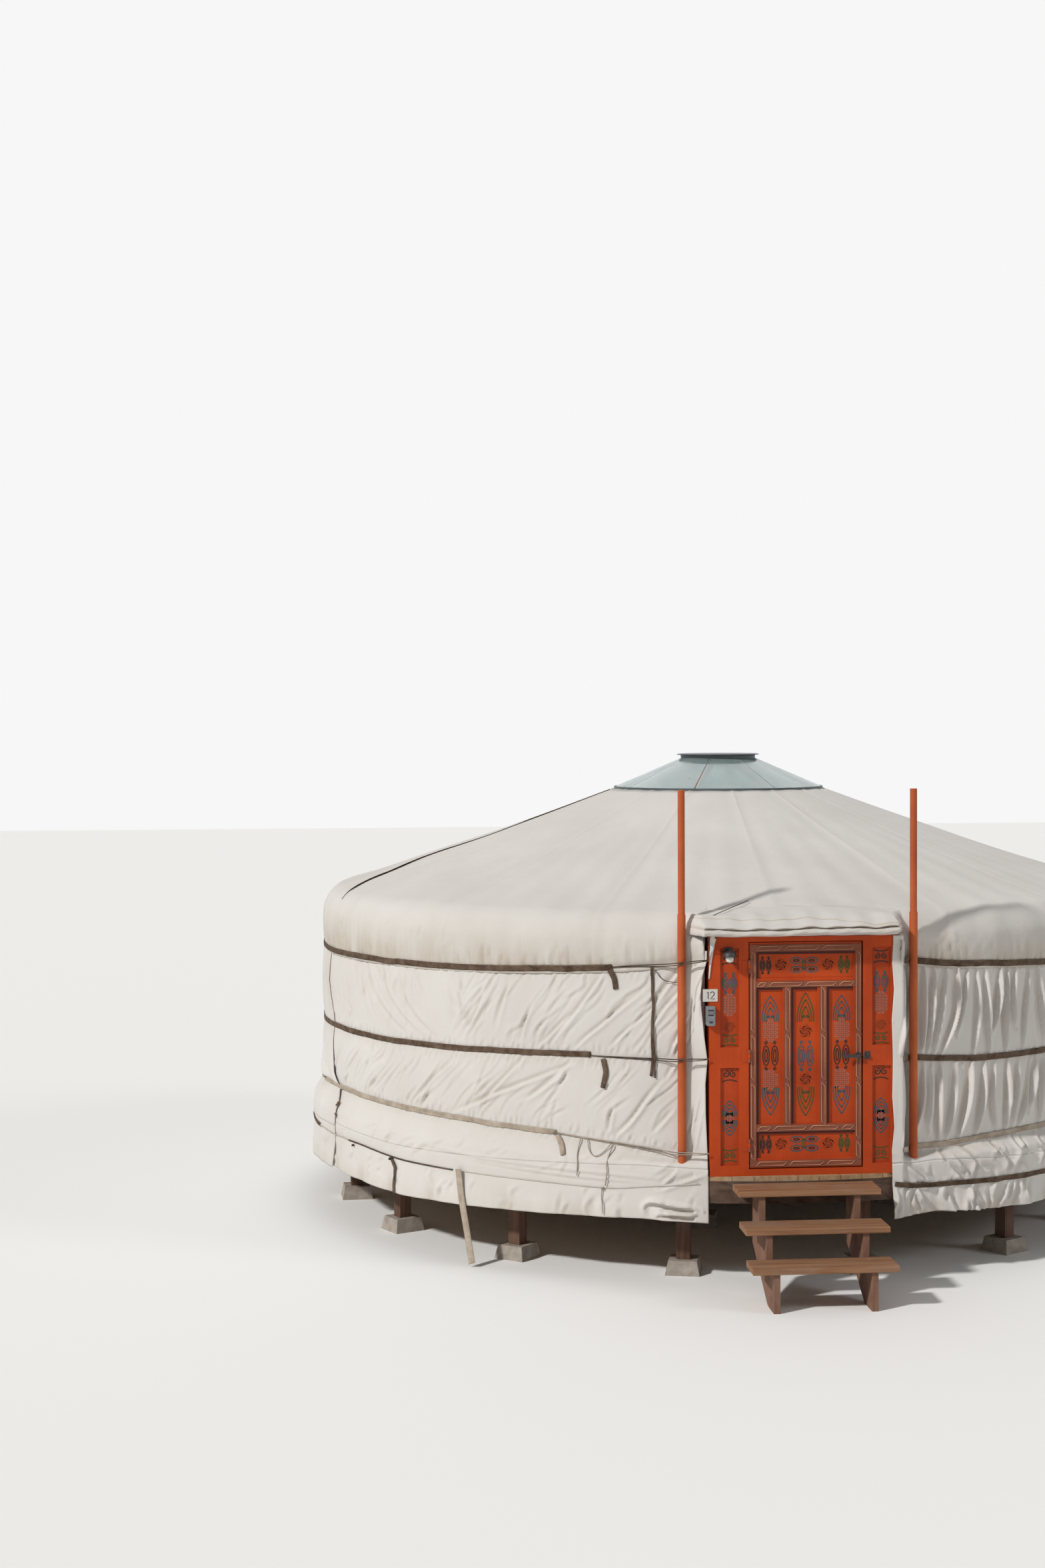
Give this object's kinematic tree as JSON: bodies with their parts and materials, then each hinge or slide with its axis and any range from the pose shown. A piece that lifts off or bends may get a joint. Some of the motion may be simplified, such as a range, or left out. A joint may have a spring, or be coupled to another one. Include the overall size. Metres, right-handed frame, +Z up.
{
  "type": "yurt on a timber platform",
  "caption": "Round felt tent house with a canvas cover, lattice wall, glazed crown and painted door, on a raised round timber platform with steps",
  "frame": {"origin": "on the ground under the centre of the round room", "axes": "+Z up, the door faces -Y, +X to the right as one faces the door"},
  "size_m": [6.34, 7.047, 3.392],
  "materials": {
    "deck_timber": "sawn softwood, weathered",
    "post_timber": "brown stained softwood",
    "concrete_block": "cast concrete",
    "roof_pole_paint": "orange painted pine",
    "crown_paint": "orange painted pine",
    "crown_glass": "clear pane",
    "crown_lid": "grey painted sheet",
    "felt": "pressed wool felt",
    "canvas": "white cotton canvas",
    "brown_webbing": "woven dark brown webbing",
    "beige_webbing": "woven beige webbing",
    "door_paint": "orange gloss paint on pine",
    "door_panel": "orange paint with painted scrolls",
    "moulding_paint": "brown and pink painted mouldings",
    "black_iron": "black painted iron",
    "lamp_glass": "frosted bulb",
    "white_plate": "white enamel",
    "key_box_metal": "grey painted metal",
    "pole_paint": "orange painted pole",
    "step_timber": "red-brown stained softwood",
    "lattice_timber": "oiled willow slats"
  },
  "bodies": {
    "yurt": {"canvas_skirt": "canvas", "crown_cap": "crown_lid", "crown_curb": "crown_lid", "crown_panes": "crown_glass", "crown_posts": "crown_paint", "crown_ribs": "crown_paint", "crown_ring": "crown_paint", "deck_boards": "deck_timber", "deck_joists": "deck_timber", "deck_kerb": "deck_timber", "deck_rim": "deck_timber", "door_canopy": "canvas", "door_frame": "door_paint", "ground_strap": "beige_webbing", "hinge_frame_side": "door_paint", "key_box": "key_box_metal", "lamp_bulb": "lamp_glass", "latch_keeper": "black_iron", "lattice_wall_1": "lattice_timber", "lattice_wall_2": "lattice_timber", "lattice_wall_3": "lattice_timber", "lattice_wall_4": "lattice_timber", "lattice_wall_5": "lattice_timber", "number_plate": "white_plate", "platform_blocks": "concrete_block", "platform_posts": "post_timber", "poles_lower": "pole_paint", "poles_upper": "pole_paint", "roof_cover": "canvas", "roof_felt": "felt", "roof_poles_left": "roof_pole_paint", "roof_poles_right": "roof_pole_paint", "side_panels": "door_panel", "skirt_tie": "beige_webbing", "step_stringers": "step_timber", "step_tread_bottom": "step_timber", "step_tread_middle": "step_timber", "step_tread_top": "step_timber", "tension_bands": "brown_webbing", "wall_canvas": "canvas", "wall_felt": "felt", "wall_lamp": "black_iron"},
    "door": {"door_leaf": "door_paint", "leaf_mouldings": "moulding_paint", "hinge_leaf_side": "door_paint", "door_latch": "black_iron"}
  },
  "joints": [
    {"name": "door_hinge", "type": "hinge", "parent": "yurt", "child": "door", "pos_m": [-0.3365, -3.109, 1.48], "axis": [0, 0, -1], "range_deg": [0, 110]}
  ]
}
